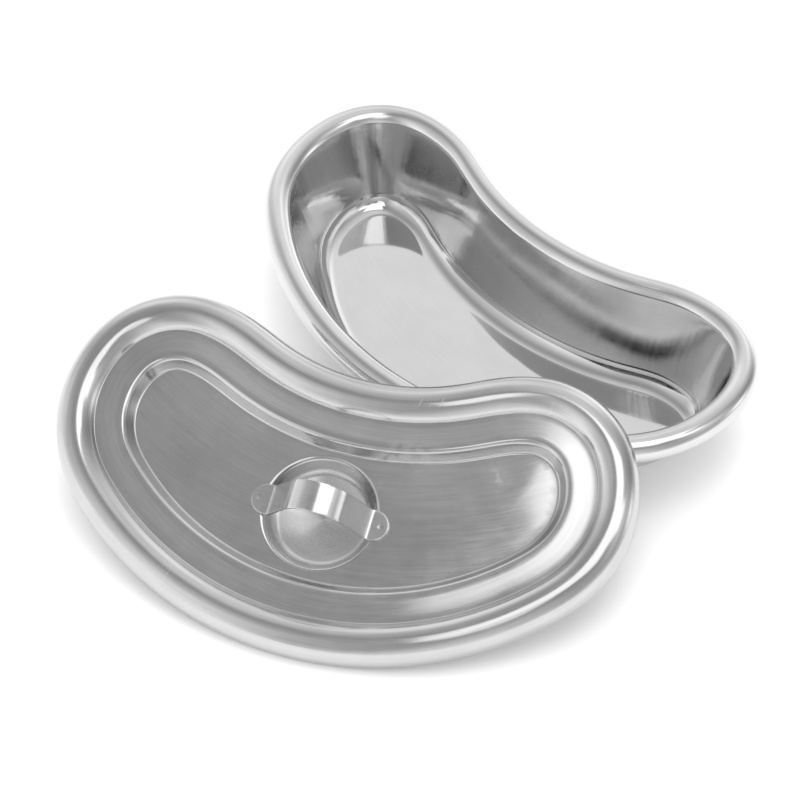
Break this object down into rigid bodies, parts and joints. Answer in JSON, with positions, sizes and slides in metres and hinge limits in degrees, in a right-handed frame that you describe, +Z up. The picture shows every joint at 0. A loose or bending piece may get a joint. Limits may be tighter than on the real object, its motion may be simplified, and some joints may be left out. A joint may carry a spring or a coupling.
{
  "type": "kidney dish",
  "caption": "Deep kidney-shaped steel dish with a rolled rim, and its pressed lid with a finger well and strap handle leaning on it.",
  "frame": {"origin": "centre of the dish's flat base, on the table plane", "axes": "+Z up out of the dish, X along the dish's long axis, +Y towards its hollow (concave) side"},
  "size_m": [0.261, 0.2619, 0.0626],
  "materials": {
    "polished_steel": "mirror polished",
    "satin_steel": "satin, brushed along the outline",
    "bright_steel": "bright, fine brushing",
    "weld_steel": "satin with an electrode mark"
  },
  "bodies": {
    "dish": {"bowl": "polished_steel"},
    "cover": {"lid": "satin_steel", "lid_handle": "bright_steel", "spot_weld_left": "weld_steel", "spot_weld_right": "weld_steel"}
  },
  "joints": [
    {"name": "lid_lift", "type": "slide", "parent": "dish", "child": "cover", "axis": [0, 0, 1], "range_m": [0, 0.12]}
  ]
}
